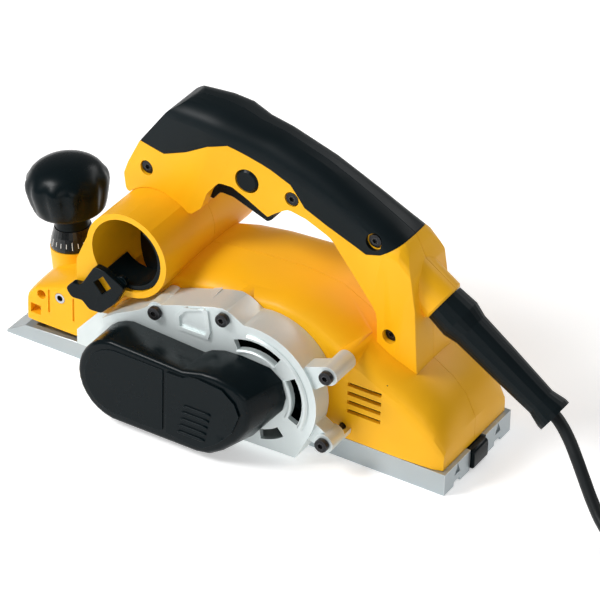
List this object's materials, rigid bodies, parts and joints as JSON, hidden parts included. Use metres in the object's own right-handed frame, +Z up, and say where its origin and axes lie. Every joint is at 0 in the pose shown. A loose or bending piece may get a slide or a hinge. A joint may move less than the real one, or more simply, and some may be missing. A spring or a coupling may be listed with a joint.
{
  "type": "electric hand planer",
  "caption": "Electric hand planer: belt-driven cutter drum, rising front sole with depth knob, trigger handle, side chip outlet and coiled mains lead.",
  "frame": {"origin": "middle of the running face of the sole, on its underside", "axes": "+X to the rear of the tool (mains lead end), +Y to its right side, +Z up"},
  "size_m": [0.5533, 0.163, 0.1966],
  "materials": {
    "yellow_plastic": "saturated yellow-orange moulded plastic, satin",
    "soft_rubber": "black soft-touch rubber",
    "black_plastic": "black moulded plastic, satin",
    "cast_aluminium": "satin cast aluminium",
    "steel": "machined steel",
    "black_screw": "blackened steel screw",
    "copper": "copper winding and bars",
    "laminated_iron": "stacked iron laminations",
    "carbon": "brush and its holder",
    "lead_cover": "black flexible lead cover"
  },
  "bodies": {
    "machine": {"housing_left": "yellow_plastic", "housing_right": "yellow_plastic", "handle_left": "yellow_plastic", "handle_right": "yellow_plastic", "grip_left": "soft_rubber", "grip_right": "soft_rubber", "drive_housing": "cast_aluminium", "belt_cover": "black_plastic", "drive_belt": "soft_rubber", "rear_sole": "cast_aluminium", "drum_bearing_left": "steel", "drum_bearing_right": "steel", "stator": "laminated_iron", "motor_bearing_left": "steel", "motor_bearing_right": "steel", "brush_1": "carbon", "brush_2": "carbon", "spindle_spring": "steel", "trigger_pin": "steel", "trigger_spring": "steel", "switch_body": "black_plastic", "foot_pin": "steel", "foot_spring": "steel", "fence_insert": "steel", "cord_guard": "soft_rubber", "cord_clamp": "black_plastic", "power_cord": "lead_cover", "cord_coil": "lead_cover", "mains_plug": "black_plastic", "casting_screw_1": "black_screw", "casting_screw_2": "black_screw", "casting_screw_3": "black_screw", "casting_screw_4": "black_screw", "handle_screw_1": "black_screw", "handle_screw_2": "black_screw", "handle_screw_3": "black_screw", "handle_screw_4": "black_screw"},
    "rotor": {"motor_shaft": "steel", "armature": "copper", "commutator": "copper", "cooling_fan": "black_plastic", "motor_pulley": "steel"},
    "drum": {"cutter_drum": "cast_aluminium", "blade_1": "steel", "blade_2": "steel", "clamp_bar_1": "steel", "clamp_bar_2": "steel", "drum_pulley": "steel"},
    "knob": {"depth_knob": "soft_rubber", "depth_scale_collar": "black_plastic", "depth_spindle": "steel"},
    "front_shoe": {"front_sole": "cast_aluminium"},
    "trigger_lever": {"trigger": "black_plastic"},
    "lock_off": {"lock_off_button": "black_plastic"},
    "deflector": {"chip_deflector": "black_plastic", "deflector_lever": "black_plastic"},
    "foot": {"parking_foot": "black_plastic"}
  },
  "joints": [
    {"name": "motor_spin", "type": "hinge", "parent": "machine", "child": "rotor", "pos_m": [0.038, 0, 0.045], "axis": [0, 1, 0], "continuous": true},
    {"name": "drum_spin", "type": "hinge", "parent": "machine", "child": "drum", "pos_m": [-0.042, 0, 0.0285], "axis": [0, 1, 0], "continuous": true},
    {"name": "depth_knob_turn", "type": "hinge", "parent": "machine", "child": "knob", "pos_m": [-0.1353, 0, 0.0548], "axis": [0.1219, 0, -0.9925], "range_deg": [0, 345]},
    {"name": "front_sole_lift", "type": "slide", "parent": "machine", "child": "front_shoe", "axis": [0, 0, 1], "range_m": [0, 0.004], "deforming": ["spindle_spring"]},
    {"name": "trigger_squeeze", "type": "hinge", "parent": "machine", "child": "trigger_lever", "pos_m": [0.012, 0, 0.144], "axis": [0, 1, 0], "range_deg": [0, 7], "stiffness_Nm_per_rad": 1.2, "springref_deg": -11.46, "deforming": ["trigger_spring"]},
    {"name": "lock_off_press", "type": "slide", "parent": "machine", "child": "lock_off", "axis": [0, 1, 0], "range_m": [0, 0.003], "stiffness_N_per_m": 800, "springref_m": -0.003},
    {"name": "deflector_turn", "type": "hinge", "parent": "machine", "child": "deflector", "pos_m": [-0.06, 0, 0.101], "axis": [0, 1, 0], "range_deg": [0, 180]},
    {"name": "parking_foot_swing", "type": "hinge", "parent": "machine", "child": "foot", "pos_m": [0.149, 0, 0.0105], "axis": [0, 1, 0], "range_deg": [0, 60], "stiffness_Nm_per_rad": 0.01, "springref_deg": 68.75}
  ],
  "couplings": [
    {"joint": "drum_spin", "follows": "motor_spin", "ratio": 0.5503},
    {"joint": "depth_knob_turn", "follows": "front_sole_lift", "rad_per_m": 1505.1}
  ]
}
